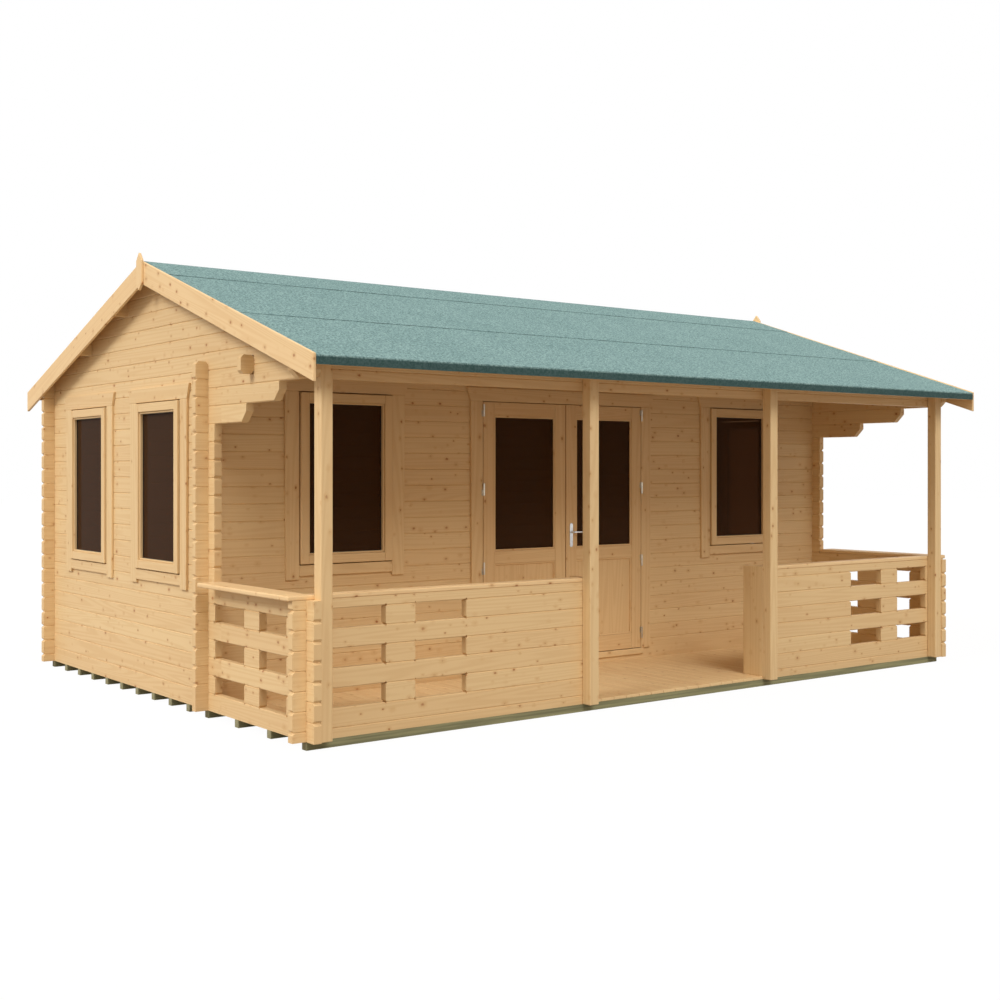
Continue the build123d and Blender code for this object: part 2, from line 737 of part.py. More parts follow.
def door_leaf(side):
    """One leaf; side is -1 for the left and 1 for the right, which carries the lever."""
    centre = side * (leaf_inner + leaf_outer) / 2
    opening = leaf_width - 2 * leaf_stile
    panel_height = panel_top - panel_low
    with BuildPart() as leaf:
        with BuildSketch(Plane.XZ.offset(-leaf_back)):
            with Locations((centre, (leaf_bottom + leaf_top) / 2)):
                Rectangle(leaf_width, leaf_height)
            with Locations((centre, (leaf_pane_low + leaf_pane_top) / 2)):
                Rectangle(opening, leaf_pane_height, mode=Mode.SUBTRACT)
            if side > 0:
                with Locations((lever_x, lever_z)):
                    Circle(leaf_bore, mode=Mode.SUBTRACT)
        extrude(amount=leaf_thickness)
        for plane in (Plane.XZ.offset(-leaf_back), Plane.XZ.offset(-leaf_face - leaf_panel_recess)):
            with BuildSketch(plane):
                with Locations((centre, (panel_low + panel_top) / 2)):
                    Rectangle(opening, panel_height)
            extrude(amount=leaf_panel_recess, mode=Mode.SUBTRACT)
    return leaf.part


save(door_leaf(-1), "left_door")
save(door_leaf(1), "right_door")

for name, side in (("left_door_pane", -1), ("right_door_pane", 1)):
    with BuildPart() as door_pane:
        with BuildSketch(Plane.XZ.offset(-(leaf_face + leaf_back) / 2 - pane_thickness / 2)):
            centre = side * (leaf_inner + leaf_outer) / 2
            with Locations((centre, (leaf_pane_low + leaf_pane_top) / 2)):
                Rectangle(leaf_width - 2 * leaf_stile, leaf_pane_height)
        extrude(amount=pane_thickness)
    save(door_pane.part, name)

# Lift-off hinges: the frame carries the lower knuckle and the pin, the leaf the upper knuckle
hinge_x = leaf_outer + leaf_gap / 2
hinge_y = leaf_face - hinge_radius - 1
hinge_places = [log_base + hinge_first + hinge_spacing * k for k in range(hinge_count)]


def knuckle_section(side, toward):
    """Knuckle and the flat flange that runs from it on to the wood."""
    near = side * hinge_x
    with Locations((near, hinge_y)):
        Circle(hinge_radius)
    with Locations((near + toward * hinge_flange_width / 2, leaf_face - hinge_flange / 2)):
        Rectangle(hinge_flange_width, hinge_flange)


with BuildPart() as frame_hinges:
    for side in (-1, 1):
        for z in hinge_places:
            low = z - hinge_knuckle - hinge_knuckle_gap / 2
            with BuildSketch(Plane.XY.offset(low)):
                knuckle_section(side, side)
            extrude(amount=hinge_knuckle)
            with BuildSketch(Plane.XY.offset(low + hinge_knuckle)):
                with Locations((side * hinge_x, hinge_y)):
                    Circle(hinge_pin_radius)
            extrude(amount=hinge_knuckle)
save(frame_hinges.part, "frame_hinges")


def leaf_hinges(side):
    """Upper knuckles of one leaf."""
    with BuildPart() as knuckles:
        for z in hinge_places:
            low = z + hinge_knuckle_gap / 2
            with BuildSketch(Plane.XY.offset(low)):
                knuckle_section(side, -side)
            extrude(amount=hinge_knuckle)
            with BuildSketch(Plane.XY.offset(low)):
                with Locations((side * hinge_x, hinge_y)):
                    Circle(hinge_pin_radius + hinge_pin_clearance)
            extrude(amount=hinge_knuckle, mode=Mode.SUBTRACT)
    return knuckles.part


save(leaf_hinges(-1), "left_door_hinges")
save(leaf_hinges(1), "right_door_hinges")

# Handle plates inside and outside, and the lever with its spindle through the leaf
with BuildPart() as handle_plates:
    for plane in (Plane.XZ.offset(-leaf_face), Plane.XZ.offset(-leaf_back - plate_thickness)):
        with BuildSketch(plane):
            with Locations((lever_x, plate_z)):
                RectangleRounded(plate_width, plate_height, plate_width / 2 - 1)
            with Locations((lever_x, lever_z)):
                Circle(plate_bore, mode=Mode.SUBTRACT)
        extrude(amount=plate_thickness)
save(handle_plates.part, "handle_plates")

lever_front = leaf_face - lever_standoff
lever_back = leaf_back + lever_standoff
with BuildPart() as door_lever:
    with BuildSketch(Plane.XZ.offset(-lever_back)):
        with Locations((lever_x, lever_z)):
            Circle(lever_neck_radius)
    extrude(amount=lever_back - lever_front)
    for plane in (Plane.XZ.offset(-lever_front), Plane.XZ.offset(-lever_back - lever_depth)):
        with BuildSketch(plane):
            with Locations((lever_x + lever_length / 2, lever_z)):
                SlotCenterToCenter(lever_length, lever_width)
        extrude(amount=lever_depth)
save(door_lever.part, "door_lever")
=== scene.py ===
import random
from math import pi, radians

import bpy
from bpy.props import FloatProperty, FloatVectorProperty, PointerProperty
from bpy.types import Operator, Panel, PropertyGroup
from mathutils import Matrix, Vector


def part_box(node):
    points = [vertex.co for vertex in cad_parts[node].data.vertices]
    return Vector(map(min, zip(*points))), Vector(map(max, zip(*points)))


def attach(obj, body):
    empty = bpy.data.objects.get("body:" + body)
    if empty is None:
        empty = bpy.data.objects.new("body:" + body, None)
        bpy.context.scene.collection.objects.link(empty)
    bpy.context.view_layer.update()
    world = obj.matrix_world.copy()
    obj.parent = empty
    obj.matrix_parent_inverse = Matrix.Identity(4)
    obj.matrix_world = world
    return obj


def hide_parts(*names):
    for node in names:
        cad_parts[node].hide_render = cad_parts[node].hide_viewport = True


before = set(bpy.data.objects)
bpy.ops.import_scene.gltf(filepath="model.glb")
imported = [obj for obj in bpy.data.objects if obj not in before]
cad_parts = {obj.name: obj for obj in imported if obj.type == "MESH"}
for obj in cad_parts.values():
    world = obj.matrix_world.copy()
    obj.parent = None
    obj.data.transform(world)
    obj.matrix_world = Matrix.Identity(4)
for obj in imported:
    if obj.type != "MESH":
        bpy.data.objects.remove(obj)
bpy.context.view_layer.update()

bl_info = {
    "name": "Log Cabin with Veranda",
    "version": (1, 0, 0),
    "blender": (4, 5, 0),
    "location": "3D View > Sidebar > Cabin",
    "description": "Timber, felt, glass and fittings for a log cabin with a railed front veranda",
    "category": "Object",
}


# Sizes that the frame gives

def low_corner(node):
    """Lowest corner of a frame node."""
    return Vector(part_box(node)[0])


def high_corner(node):
    """Highest corner of a frame node."""
    return Vector(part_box(node)[1])


def corners(node):
    """Both corners of a frame node."""
    return low_corner(node), high_corner(node)


HALF_WIDTH = high_corner("floor_bearers").x
VERANDA_FACE = low_corner("floor_bearers").y
REAR_FACE = high_corner("floor_bearers").y
LOG_BASE = high_corner("floor_bearers").z
FRONT_FACE = low_corner("front_wall_head").y
LOG_THICKNESS = high_corner("front_wall_head").y - FRONT_FACE
INNER_HALF_WIDTH = HALF_WIDTH - LOG_THICKNESS
RIDGE = high_corner("ridge_purlin").z
EAVES_EDGE = high_corner("rear_roof_boards").y
GABLE_EDGE = high_corner("rear_roof_boards").x
SLOPE = (RIDGE - low_corner("rear_roof_boards").z) / EAVES_EDGE
BOARD_RISE = high_corner("rear_roof_boards").z - RIDGE
LOG_PITCH = 0.114
UPRIGHT = (1 + SLOPE * SLOPE) ** 0.5
FELT = 0.003


def roof_under(y):
    """Height of the underside of the roof boards at a distance from the ridge."""
    return RIDGE - abs(y) * SLOPE


# What a user would change

def length(label, words, default, smallest, largest):
    """Length property with its name, description, default and limits."""
    return FloatProperty(name=label, description=words, default=default, min=smallest, max=largest,
                         unit='LENGTH', subtype='DISTANCE')


class CabinSizes(PropertyGroup):
    """Sizes of the boards and of what is rounded on them."""
    deck_board: length("Deck board", "Width of one deck board with its gap", 0.1143, 0.06, 0.2)
    floor_board: length("Floor board", "Width of one floor board", 0.0945, 0.06, 0.2)
    roof_board: length("Roof board", "Width of one roof board", 0.0954, 0.06, 0.2)
    gap: length("Deck gap", "Gap between two deck boards", 0.003, 0.001, 0.01)
    softening: length("Softened edge", "Width of the softened edges of planed boards", 0.003, 0.0005, 0.01)


def colour(label, words, default):
    """Colour property with its name, description and default."""
    return FloatVectorProperty(name=label, description=words, default=default, size=3,
                               min=0.0, max=1.0, subtype='COLOR')


class CabinColours(PropertyGroup):
    """Colours of the timber, felt, glass and metal, as linear values."""
    pale: colour("Pale timber", "Early wood of the logs", (0.80, 0.60, 0.325))
    dark: colour("Late timber", "Late wood between the pale bands", (0.64, 0.415, 0.195))
    knot: colour("Knot", "Middle of a knot", (0.34, 0.105, 0.028))
    felt: colour("Felt", "Ground colour of the mineral felt", (0.068, 0.15, 0.158))
    fleck: colour("Fleck", "Pale mineral grains of the felt", (0.365, 0.55, 0.55))
    bearer: colour("Bearer", "Treated bearers", (0.17, 0.165, 0.085))
    # The glass colour is painted shade: the brown of the dim inside seen through the panes
    glass: colour("Glass", "Tint of the panes", (0.17, 0.088, 0.044))
    steel: colour("Steel", "Hinges", (0.66, 0.59, 0.47))
    handle: colour("Handle", "Plates and lever", (0.72, 0.72, 0.71))


def sizes():
    """The sizes that are set."""
    return bpy.context.scene.cabin_sizes


def colours():
    """The colours that are set."""
    return bpy.context.scene.cabin_colours


# Nodes and materials: a helper that adds one node to a tree returns what comes out of it

def link(tree, *pairs):
    """Joins pairs of sockets."""
    for source, target in pairs:
        tree.links.new(source, target)


def put(tree, socket, value):
    """Gives a socket a number, a colour or what another socket gives."""
    if isinstance(value, bpy.types.NodeSocket):
        tree.links.new(value, socket)
    elif isinstance(value, (int, float)):
        socket.default_value = value
    else:
        socket.default_value = (*value, 1)


def preset(node, values):
    """Sets sockets of a node by their labels."""
    for label, value in values.items():
        node.inputs[label].default_value = value


def number(tree, operation, *values):
    """Math node; a value is a number or a socket."""
    node = tree.nodes.new("ShaderNodeMath")
    node.operation = operation
    for place, value in enumerate(values):
        put(tree, node.inputs[place], value)
    return node.outputs[0]


def plus(tree, first, second):
    """Sum of two values."""
    return number(tree, 'ADD', first, second)


def times(tree, first, second):
    """Product of two values."""
    return number(tree, 'MULTIPLY', first, second)


def stepped(tree, value, start, end, low=0.0, high=1.0):
    """Smooth step of a value from one range to another."""
    node = tree.nodes.new("ShaderNodeMapRange")
    node.interpolation_type = 'SMOOTHSTEP'
    tree.links.new(value, node.inputs["Value"])
    preset(node, {"From Min": start, "From Max": end, "To Min": low, "To Max": high})
    return node.outputs["Result"]


def blended(tree, factor, first, second, mode='MIX'):
    """Colour mix; a colour is three numbers or a socket."""
    node = tree.nodes.new("ShaderNodeMix")
    node.data_type = 'RGBA'
    node.blend_type = mode
    node.clamp_factor = True
    for place, value in ((0, factor), (6, first), (7, second)):
        put(tree, node.inputs[place], value)
    return node.outputs[2]


def noise(tree, vector, scale, detail=2.0, roughness=0.5):
    """Factor of a noise texture."""
    node = tree.nodes.new("ShaderNodeTexNoise")
    tree.links.new(vector, node.inputs["Vector"])
    preset(node, {"Scale": scale, "Detail": detail, "Roughness": roughness})
    return node.outputs["Fac"]


def joined(tree, x, y, z):
    """Vector from three numbers."""
    node = tree.nodes.new("ShaderNodeCombineXYZ")
    for place, value in enumerate((x, y, z)):
        put(tree, node.inputs[place], value)
    return node.outputs[0]


def parted(tree, vector):
    """The three numbers of a vector."""
    node = tree.nodes.new("ShaderNodeSeparateXYZ")
    tree.links.new(vector, node.inputs[0])
    return node.outputs


def stretched(tree, place, scales):
    """Vector of three numbers, each times a scale of its own."""
    return joined(tree, *(times(tree, value, scale) for value, scale in zip(place, scales)))


def add_sockets(tree, way, kind, *labels):
    """Gives a shader group named sockets of one kind."""
    for label in labels:
        tree.interface.new_socket(label, in_out=way, socket_type="NodeSocket" + kind)


def timber_group():
    """Figure of softwood: bands, streaks, knots and end grain, from a place along, across and up a board."""
    tree = bpy.data.node_groups.new("Timber figure", "ShaderNodeTree")
    add_sockets(tree, 'INPUT', "Vector", "Place")
    add_sockets(tree, 'INPUT', "Float", "Board", "End", "Knots")
    add_sockets(tree, 'OUTPUT', "Float", "Figure", "Knot", "Halo", "Tone", "Height")
    given = tree.nodes.new("NodeGroupInput").outputs
    out = tree.nodes.new("NodeGroupOutput").inputs
    knot_scale, band_count, ring_count = 15.0, 110.0, 1150.0
    along, side, up = parted(tree, given["Place"])
    along = plus(tree, along, times(tree, given["Board"], 7.31))
    side = plus(tree, side, times(tree, given["Board"], 1.7))

    # Knots are where a face cuts a scatter of small egg shapes, of which only some are kept
    knots = tree.nodes.new("ShaderNodeTexVoronoi")
    knots.feature = 'F1'
    preset(knots, {"Scale": knot_scale, "Randomness": 1.0})
    tree.links.new(joined(tree, times(tree, along, 0.72), side, up), knots.inputs["Vector"])
    chance, spread, strength = parted(tree, knots.outputs["Color"])
    kept = number(tree, 'LESS_THAN', chance, given["Knots"])
    ragged = stepped(tree, noise(tree, given["Place"], 90.0, 2.0, 0.7), 0.2, 0.8, -0.035, 0.035)
    away = plus(tree, knots.outputs["Distance"], ragged)
    away = times(tree, away, plus(tree, 0.75, times(tree, spread, 0.9)))
    faded = times(tree, kept, plus(tree, 0.45, times(tree, strength, 0.55)))
    core = times(tree, stepped(tree, away, 0.05, 0.16, 1.0, 0.0), faded)
    halo = times(tree, stepped(tree, away, 0.10, 0.38, 1.0, 0.0), kept)

    # The bands bow round each knot
    bowed = plus(tree, up, times(tree, halo, 0.008))
    wide = noise(tree, stretched(tree, (along, side, bowed), (0.22, 2.0, 8.0)), 1.0, 1.0)
    bands = stepped(tree, number(tree, 'SINE', times(tree, wide, band_count)), -0.6, 1.0)
    streaks = noise(tree, stretched(tree, (along, side, bowed), (3.0, 160.0, 160.0)), 1.0, 3.0, 0.6)
    figure = plus(tree, times(tree, bands, 0.55), times(tree, streaks, 0.45))

    # End grain shows arcs of the rings
    centre = number(tree, 'SUBTRACT', up, times(tree, given["Board"], 0.31))
    ring = number(tree, 'SQRT', plus(tree, times(tree, side, side), times(tree, centre, centre)))
    arcs = stepped(tree, number(tree, 'SINE', times(tree, ring, ring_count)), -0.5, 1.0)
    ends = number(tree, 'GREATER_THAN', given["End"], 0.6)
    figure = plus(tree, times(tree, figure, number(tree, 'SUBTRACT', 1.0, ends)),
                  times(tree, ends, plus(tree, 0.35, times(tree, arcs, 0.6))))

    # Each board has a tone of its own, which drifts along it
    random_tone = tree.nodes.new("ShaderNodeTexWhiteNoise")
    random_tone.noise_dimensions = '1D'
    tree.links.new(given["Board"], random_tone.inputs["W"])
    drift = noise(tree, stretched(tree, (along, side, up), (0.8, 3.0, 4.0)), 1.0)
    tone = plus(tree, times(tree, random_tone.outputs["Value"], 0.6), times(tree, drift, 0.4))
    height = number(tree, 'SUBTRACT', times(tree, streaks, -0.5), times(tree, core, 0.4))
    link(tree, (figure, out["Figure"]), (core, out["Knot"]), (halo, out["Halo"]), (tone, out["Tone"]),
         (height, out["Height"]))


def blank(name):
    """New material with its Principled shader. Returns its tree and the shader."""
    material = bpy.data.materials.new(name)
    material.use_nodes = True
    return material.node_tree, material.node_tree.nodes["Principled BSDF"]


def object_place(tree):
    """Place on the object."""
    return tree.nodes.new("ShaderNodeTexCoord").outputs["Object"]


def roughen(tree, shader, height, strength, distance):
    """Gives a shader's surface the bumps of a height."""
    raised = tree.nodes.new("ShaderNodeBump")
    preset(raised, {"Strength": strength, "Distance": distance})
    link(tree, (height, raised.inputs["Height"]), (raised.outputs["Normal"], shader.inputs["Normal"]))


def own_coordinates(tree):
    """Place, board number and end mask that a modelled board carries."""
    read = []
    for name, output in (("grain", "Vector"), ("board", "Fac"), ("end", "Fac")):
        node = tree.nodes.new("ShaderNodeAttribute")
        node.attribute_name = name
        read.append(node.outputs[output])
    return read


def log_coordinates(tree, axis, half):
    """Place, log number and end mask of a frame node whose logs run along one axis."""
    first_number, far_step, front_step = 0.37, 31.7, 13.3
    coordinates = tree.nodes.new("ShaderNodeTexCoord")
    x, y, z = parted(tree, coordinates.outputs["Object"])
    facing = parted(tree, coordinates.outputs["Normal"])
    course = number(tree, 'DIVIDE', number(tree, 'SUBTRACT', z, LOG_BASE), LOG_PITCH)
    course = number(tree, 'FLOOR', plus(tree, course, half))
    along, across, end, front_line = (x, y, facing[0], -1.9) if axis == "X" else (y, x, facing[1], -1.0)
    far = number(tree, 'GREATER_THAN', across, 0.0)
    front = number(tree, 'LESS_THAN', y, front_line)
    log = plus(tree, course, plus(tree, times(tree, far, far_step), times(tree, front, front_step)))
    return joined(tree, along, across, z), plus(tree, log, first_number), number(tree, 'ABSOLUTE', end)


def timber(name, read, knots, tint=(1, 1, 1), contrast=1.0):
    """Softwood material; read gives the place, board number and end mask."""
    tree, shader = blank(name)
    figure = tree.nodes.new("ShaderNodeGroup")
    figure.node_tree = bpy.data.node_groups["Timber figure"]
    for label, value in zip(("Place", "Board", "End", "Knots"), (*read(tree), knots)):
        put(tree, figure.inputs[label], value)
    shown = figure.outputs
    pale = [c * t for c, t in zip(colours().pale, tint)]
    dark = [c * t for c, t in zip(colours().dark, tint)]
    aged, ring_brown = (0.88, 0.76, 0.68), (0.56, 0.29, 0.10)
    figure_share, tone_share, ring_share, knot_share = 0.42 * contrast, 0.45, 0.28, 0.92
    least_rough, figure_rough = 0.49, 0.12
    shade = blended(tree, times(tree, shown["Figure"], figure_share), pale, dark)
    toned = blended(tree, times(tree, shown["Tone"], tone_share), shade, aged, 'MULTIPLY')
    ringed = blended(tree, times(tree, shown["Halo"], ring_share), toned, ring_brown)
    knotted = blended(tree, times(tree, shown["Knot"], knot_share), ringed, colours().knot)
    rough = plus(tree, least_rough, times(tree, shown["Figure"], figure_rough))
    link(tree, (knotted, shader.inputs["Base Color"]), (rough, shader.inputs["Roughness"]))
    roughen(tree, shader, shown["Height"], 0.25, 0.001)
    shader.inputs["Specular IOR Level"].default_value = 0.3


def felt_material():
    """Mineral felt: ground colour, pale grains, blotches, a dark line at each lap that is bitumen and painted
    shadow of the lap edge, and painted shade on the felt turned down over the eaves.
    """
    tree, shader = blank("mineral felt")
    # The second colour is bitumen and painted shadow at the laps; the third is painted shade for the felt
    # turned down over the eaves
    blotch, lap_shadow_and_bitumen, fold_shade = (0.5, 0.6, 0.6), (0.04, 0.07, 0.07), (0.018, 0.05, 0.048)
    place = object_place(tree)
    axes = parted(tree, place)
    level = number(tree, 'ABSOLUTE', axes[1])
    grains = noise(tree, place, 420.0, 2.0, 0.7)
    clumps = noise(tree, place, 74.0, 2.0, 0.8)
    broad = noise(tree, place, 2.2, 3.0, 0.6)
    amount = plus(tree, times(tree, stepped(tree, grains, 0.36, 0.7), 0.3),
                  times(tree, stepped(tree, clumps, 0.34, 0.68), 0.7))
    shade = blended(tree, amount, colours().felt, colours().fleck)
    weathered = blended(tree, times(tree, stepped(tree, broad, 0.35, 0.7), 0.16), shade, blotch, 'MULTIPLY')

    # The lap lines, bitumen and painted shadow of each lap edge, waver and break
    lap_shadow_and_bitumen_mask = 0.0
    waver = stepped(tree, noise(tree, place, 3.0), 0.3, 0.7, -0.002, 0.006)
    below_edge = 0.004
    for lap in LAPS:
        off = number(tree, 'SUBTRACT', number(tree, 'SUBTRACT', level, waver), lap + below_edge)
        line = stepped(tree, number(tree, 'ABSOLUTE', off), 0.002, 0.012, 1.0, 0.0)
        lap_shadow_and_bitumen_mask = number(tree, 'MAXIMUM', lap_shadow_and_bitumen_mask, line)
    broken = stepped(tree, noise(tree, place, 14.0), 0.35, 0.65, 0.12, 0.42)
    lined = blended(tree, times(tree, lap_shadow_and_bitumen_mask, broken), weathered, lap_shadow_and_bitumen)
    # Painted shade: the felt turned down over the eaves is darkened to a dark teal
    eaves_shade_mask = stepped(tree, number(tree, 'SUBTRACT', axes[2], EAVES_SURFACE), -0.012, -0.002, 1.0, 0.0)
    fold_shaded = blended(tree, times(tree, eaves_shade_mask, 0.84), lined, fold_shade)
    link(tree, (fold_shaded, shader.inputs["Base Color"]))
    roughen(tree, shader, grains, 0.6, 0.0015)
    preset(shader, {"Roughness": 0.92, "Specular IOR Level": 0.2})


def treated_material():
    """Pressure-treated bearers, green-grey with paler ends."""
    tree, shader = blank("treated bearer")
    cut_end = (0.30, 0.27, 0.17)
    own = own_coordinates(tree)
    streaks = noise(tree, stretched(tree, parted(tree, own[0]), (1.5, 60.0, 60.0)), 1.0, 4.0, 0.6)
    shade = blended(tree, stepped(tree, streaks, 0.3, 0.7), colours().bearer,
                    [c * 1.9 for c in colours().bearer])
    shade = blended(tree, times(tree, own[2], 0.4), shade, cut_end)
    link(tree, (shade, shader.inputs["Base Color"]))
    roughen(tree, shader, streaks, 0.4, 0.001)
    shader.inputs["Roughness"].default_value = 0.8


def glass_material():
    """Dark brown panes, partly opaque, with faint dust that roughens them; the brown is painted shade of the
    dim inside behind the panes.
    """
    tree, shader = blank("pane glass")
    dust = noise(tree, object_place(tree), 3.0, 4.0, 0.6)
    link(tree, (stepped(tree, dust, 0.3, 0.8, 0.0, 0.03), shader.inputs["Roughness"]))
    preset(shader, {"Base Color": (*colours().glass, 1), "IOR": 1.05, "Transmission Weight": 0.75})


def metal_material(name, base, roughness):
    """Brushed metal with fine scratches in its roughness."""
    tree, shader = blank(name)
    place = object_place(tree)
    lines = noise(tree, stretched(tree, parted(tree, place), (60.0, 60.0, 900.0)), 1.0, 3.0, 0.6)
    tarnish = noise(tree, place, 40.0, 3.0, 0.6)
    shade = blended(tree, stepped(tree, tarnish, 0.3, 0.75), base, [c * 0.82 for c in base])
    link(tree, (shade, shader.inputs["Base Color"]),
         (stepped(tree, lines, 0.2, 0.8, roughness - 0.08, roughness + 0.1), shader.inputs["Roughness"]))
    shader.inputs["Metallic"].default_value = 1.0


def seal_material():
    """Black rubber of uneven roughness."""
    tree, shader = blank("rubber seal")
    link(tree, (stepped(tree, noise(tree, object_place(tree), 300.0), 0.2, 0.8, 0.55, 0.75),
                shader.inputs["Roughness"]))
    shader.inputs["Base Color"].default_value = (0.02, 0.017, 0.014, 1)


# Level distances from the ridge at which an upper felt strip ends
LOWER_LAP = 1.417
LAPS = (high_corner("ridge_felt").y, LOWER_LAP)
EAVES_SURFACE = roof_under(EAVES_EDGE) + BOARD_RISE


class CABIN_OT_materials(Operator):
    """Build the materials and dress the frame nodes that stay in view"""
    bl_idname = "cabin.materials"
    bl_label = "Materials"

    def execute(self, context):
        timber_group()
        timber("planed board", own_coordinates, knots=0.8)
        # Painted light: trim boards are planed boards tinted lighter, for the bright caps, bargeboards and
        # finials
        timber("trim board painted light", own_coordinates, knots=0.8, tint=(1.07, 1.06, 1.08))
        timber("door board", own_coordinates, knots=0.4, tint=(0.97, 0.93, 0.9))
        timber("sash board", own_coordinates, knots=0.1, tint=(0.99, 0.98, 0.97), contrast=0.8)
        # Painted light: deck boards are planed boards tinted lighter and paler, for the well-lit deck; the
        # cabin floor takes the same
        timber("deck board", own_coordinates, knots=0.5, tint=(1.12, 1.13, 1.15))
        timber("roof board", own_coordinates, knots=0.5, tint=(0.95, 0.9, 0.86))
        timber("log along front", lambda tree: log_coordinates(tree, "X", 0.5), knots=0.8)
        timber("log along side", lambda tree: log_coordinates(tree, "Y", 0.0), knots=0.8)
        felt_material()
        treated_material()
        glass_material()
        metal_material("zinc steel", colours().steel, 0.38)
        metal_material("satin handle", colours().handle, 0.24)
        seal_material()
        dress("log along front", "front_bottom_log", "front_wall_left", "front_wall_right", "front_wall_head",
              "front_wall_upper", "rear_wall", "veranda_beam", "front_left_rail", "front_right_rail",
              "ridge_purlin", "side_purlins", "veranda_tie_beam", "eaves_battens")
        dress("log along side", "left_gable_wall", "right_gable_wall", "left_side_rail", "right_side_rail")
        dress("pane glass", "window_panes", "left_door_pane", "right_door_pane")
        dress("zinc steel", "frame_hinges", "left_door_hinges", "right_door_hinges")
        return {'FINISHED'}


def cover(mesh, material):
    """Gives a mesh one material."""
    mesh.materials.clear()
    mesh.materials.append(bpy.data.materials[material])


def dress(material, *nodes):
    """Gives frame nodes a material."""
    for node in nodes:
        cover(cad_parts[node].data, material)


# Modelling

def leave_edit():
    """Goes back to object mode."""
    bpy.ops.object.mode_set(mode='OBJECT')


def clear_selection():
    """Leaves object mode with nothing selected."""
    if bpy.context.object and bpy.context.object.mode != 'OBJECT':
        leave_edit()
    bpy.ops.object.select_all(action='DESELECT')


def settle():
    """Puts the place of the active piece into its mesh."""
    bpy.ops.object.transform_apply(location=True, rotation=True, scale=True)


def block(low, high):
    """Cube primitive between two corners."""
    clear_selection()
    low, high = Vector(low), Vector(high)
    bpy.ops.mesh.primitive_cube_add(size=1, location=(low + high) / 2, scale=high - low)
    settle()
    return bpy.context.object


def activate(piece):
    """Makes a piece the active one, and the only one selected."""
    clear_selection()
    bpy.context.view_layer.objects.active = piece
    piece.select_set(True)


def modify(piece, kind, **settings):
    """Gives a piece a modifier with its settings, and applies it."""
    activate(piece)
    bpy.ops.object.modifier_add(type=kind)
    modifier = piece.modifiers[-1]
    for setting, value in settings.items():
        setattr(modifier, setting, value)
    bpy.ops.object.modifier_apply(modifier=modifier.name)


def pick(piece, test):
    """Selects the vertices of a piece that pass a test, in edit mode."""
    activate(piece)
    bpy.ops.object.mode_set(mode='EDIT')
    bpy.ops.mesh.select_mode(type='VERT')
    bpy.ops.mesh.select_all(action='DESELECT')
    leave_edit()
    for vertex in piece.data.vertices:
        vertex.select = test(vertex.co)
    bpy.ops.object.mode_set(mode='EDIT')


def move_picked(piece, test, offset):
    """Moves the vertices that pass a test."""
    pick(piece, test)
    bpy.ops.transform.translate(value=offset)
    leave_edit()


def extrude(offset):
    """Extrudes what is picked by an offset."""
    bpy.ops.mesh.extrude_region_move(TRANSFORM_OT_translate={"value": offset})


def soften(piece, width=None, segments=2, angle=30):
    """Rounds the sharp edges of a piece."""
    modify(piece, 'BEVEL', width=sizes().softening if width is None else width, segments=segments,
           limit_method='ANGLE', angle_limit=radians(angle))
    return piece


def next_number():
    """Number of the next board, from which its figure and tone follow."""
    return random.random() * 10


def grain(piece, along, board):
    """Writes a board's own coordinates, number and end mask, which its material reads."""
    along = Vector(along).normalized()
    side = along.orthogonal().normalized()
    if abs(along.z) < 0.5:
        side = along.cross(Vector((0, 0, 1))).normalized()
    up = side.cross(along)
    mesh = piece.data
    mesh.attributes.new("grain", 'FLOAT_VECTOR', 'POINT')
    mesh.attributes.new("board", 'FLOAT', 'POINT')
    mesh.attributes.new("end", 'FLOAT', 'FACE')
    for vertex, value in zip(mesh.vertices, mesh.attributes["grain"].data):
        value.vector = (vertex.co.dot(along), vertex.co.dot(side), vertex.co.dot(up))
    for value in mesh.attributes["board"].data:
        value.value = board
    for polygon, value in zip(mesh.polygons, mesh.attributes["end"].data):
        value.value = abs(polygon.normal.dot(along))
    return piece


def copy_of(piece, offset, board):
    """Copy of a board with its own mesh, moved, with a number of its own."""
    mesh = piece.data.copy()
    mesh.transform(Matrix.Translation(offset))
    for value in mesh.attributes["board"].data:
        value.value = board
    twin = bpy.data.objects.new(piece.name, mesh)
    bpy.context.collection.objects.link(twin)
    return twin


def mirrored(piece, axis, board):
    """Mirror image of a board across the middle plane of an axis, with its own mesh."""
    twin = copy_of(piece, (0, 0, 0), board)
    turn = Matrix.Identity(4)
    turn[axis][axis] = -1
    twin.data.transform(turn)
    twin.data.flip_normals()
    return twin


def join(parts):
    """Joins parts into the first one."""
    activate(parts[0])
    for part in parts:
        part.select_set(True)
    if len(parts) > 1:
        bpy.ops.object.join()
    return parts[0]


def as_piece(name, parts, material, replaced=(), body="cabin"):
    """Joins parts into one named piece, with its material, slot, the nodes it stands for and its body."""
    piece = join(parts)
    piece.name = name
    piece.data.name = name
    cover(piece.data, material)
    if replaced:
        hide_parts(*replaced)
    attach(piece, body)
    return piece


def planed(piece, along, width=None, segments=2):
    """Softens the edges of a board and gives it its grain and its number."""
    return grain(soften(piece, width, segments), along, next_number())


def board(low, high, along, width=None, segments=2):
    """Planed board between two corners, its grain along an axis."""
    return planed(block(low, high), along, width, segments)


ALONG_X = (1, 0, 0)
ALONG_Y = (0, 1, 0)
ALONG_Z = (0, 0, 1)
LEVEL = (ALONG_X, ALONG_Y)
# Distance within which a vertex counts as lying on a line
NEAR = 0.001


